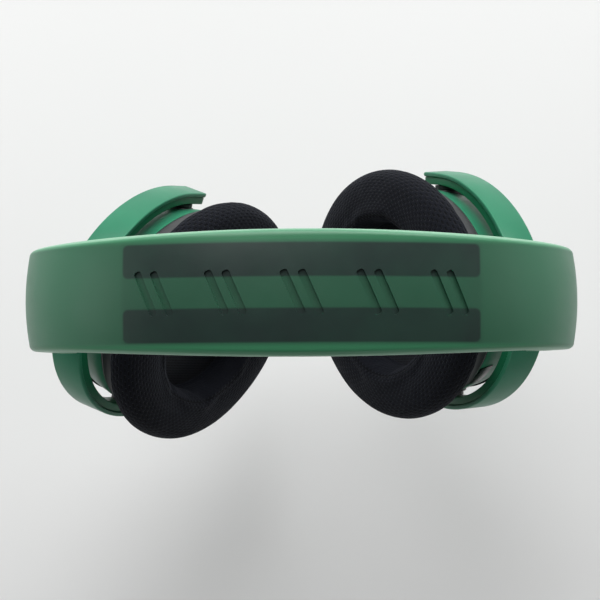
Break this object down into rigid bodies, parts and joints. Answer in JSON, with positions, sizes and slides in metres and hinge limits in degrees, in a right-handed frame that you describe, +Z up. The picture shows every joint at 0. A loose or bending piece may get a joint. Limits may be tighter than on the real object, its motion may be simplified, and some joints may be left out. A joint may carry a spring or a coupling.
{
  "type": "gaming headset",
  "caption": "Over-ear wireless gaming headset with a wide translucent green headband, swivelling yokes and soft dark ear cushions.",
  "frame": {"origin": "where the head meets the pads: the undersides of the two head pads at the top of the arch, midway between them", "axes": "+Z up, -Y the wearer's front, +X the wearer's left"},
  "size_m": [0.174, 0.0961, 0.1888],
  "materials": {
    "green_shell": "satin translucent green moulded plastic",
    "green_inner": "satin translucent green moulded plastic, inner side",
    "dark_ring": "smooth satin dark grey plastic",
    "black_plastic": "fine matte moulded plastic",
    "ear_fabric": "dark dimpled knit over foam",
    "pad_fabric": "dark knit over foam",
    "steel": "brushed",
    "magnet_steel": "plated",
    "board": "green solder mask",
    "cell": "foil pouch",
    "film": "thin polymer film"
  },
  "bodies": {
    "headband": {"headband_outer_shell": "green_shell", "headband_inner_shell": "green_inner", "head_pad_front": "pad_fabric", "head_pad_rear": "pad_fabric", "crossover_cable": "black_plastic", "left_slider_guide": "black_plastic", "left_detent_spring": "steel", "left_band_screw_front": "steel", "left_band_screw_rear": "steel", "right_slider_guide": "black_plastic", "right_detent_spring": "steel", "right_band_screw_front": "steel", "right_band_screw_rear": "steel"},
    "left_slider": {"left_slider_arm": "steel", "left_swivel_collar": "black_plastic", "left_swivel_screw": "steel"},
    "left_yoke": {"left_yoke_frame": "green_inner", "left_yoke_cover": "green_shell", "left_pivot_pin_front": "black_plastic", "left_pivot_pin_rear": "black_plastic"},
    "left_cup": {"left_cup_housing": "green_shell", "left_cup_cover": "green_shell", "left_baffle": "black_plastic", "left_baffle_screw_upper": "steel", "left_baffle_screw_lower": "steel", "left_driver_basket": "black_plastic", "left_driver_magnet": "magnet_steel", "left_diaphragm": "film", "left_cushion_ring": "dark_ring", "left_speaker_cloth": "ear_fabric", "left_ear_cushion": "ear_fabric", "volume_encoder": "steel", "usb_socket": "steel", "mic_socket": "steel", "circuit_board": "board"},
    "right_slider": {"right_slider_arm": "steel", "right_swivel_collar": "black_plastic", "right_swivel_screw": "steel"},
    "right_yoke": {"right_yoke_frame": "green_inner", "right_yoke_cover": "green_shell", "right_pivot_pin_front": "black_plastic", "right_pivot_pin_rear": "black_plastic"},
    "right_cup": {"right_cup_housing": "green_shell", "right_cup_cover": "green_shell", "right_baffle": "black_plastic", "right_baffle_screw_upper": "steel", "right_baffle_screw_lower": "steel", "right_driver_basket": "black_plastic", "right_driver_magnet": "magnet_steel", "right_diaphragm": "film", "right_cushion_ring": "dark_ring", "right_speaker_cloth": "ear_fabric", "right_ear_cushion": "ear_fabric", "battery": "cell"},
    "power_button": {"power_button": "black_plastic"},
    "mute_button": {"mute_button": "black_plastic"},
    "volume_wheel": {"volume_wheel": "black_plastic"}
  },
  "joints": [
    {"name": "left_slide", "type": "slide", "parent": "headband", "child": "left_slider", "axis": [-0.1908, 0, -0.9816], "range_m": [0, 0.016]},
    {"name": "left_swivel", "type": "hinge", "parent": "left_slider", "child": "left_yoke", "pos_m": [0.07541, 0, -0.08109], "axis": [0.1885, -0.1564, 0.9695], "range_deg": [-18, 86]},
    {"name": "left_tilt", "type": "hinge", "parent": "left_yoke", "child": "left_cup", "pos_m": [0.05335, 0.00713, -0.12708], "axis": [0.0216, -0.9863, -0.1633], "range_deg": [-2, 18]},
    {"name": "right_slide", "type": "slide", "parent": "headband", "child": "right_slider", "axis": [0.1908, 0, -0.9816], "range_m": [0, 0.016]},
    {"name": "right_swivel", "type": "hinge", "parent": "right_slider", "child": "right_yoke", "pos_m": [-0.07541, 0, -0.08109], "axis": [0.1885, 0.1564, -0.9695], "range_deg": [-34, 70]},
    {"name": "right_tilt", "type": "hinge", "parent": "right_yoke", "child": "right_cup", "pos_m": [-0.05392, 0.00365, -0.12775], "axis": [0.2914, 0.9339, 0.2073], "range_deg": [-2, 18]},
    {"name": "power_button_press", "type": "slide", "parent": "left_cup", "child": "power_button", "axis": [0.2137, -0.9581, 0.1908], "range_m": [0, 0.0008], "stiffness_N_per_m": 300, "springref_m": -0.0004},
    {"name": "mute_button_press", "type": "slide", "parent": "left_cup", "child": "mute_button", "axis": [0.4749, -0.4163, 0.7754], "range_m": [0, 0.0008], "stiffness_N_per_m": 300, "springref_m": -0.0004},
    {"name": "volume_wheel_turn", "type": "hinge", "parent": "left_cup", "child": "volume_wheel", "pos_m": [0.03274, 0.02777, -0.15188], "axis": [-0.8713, -0.0987, 0.4807], "continuous": true}
  ]
}
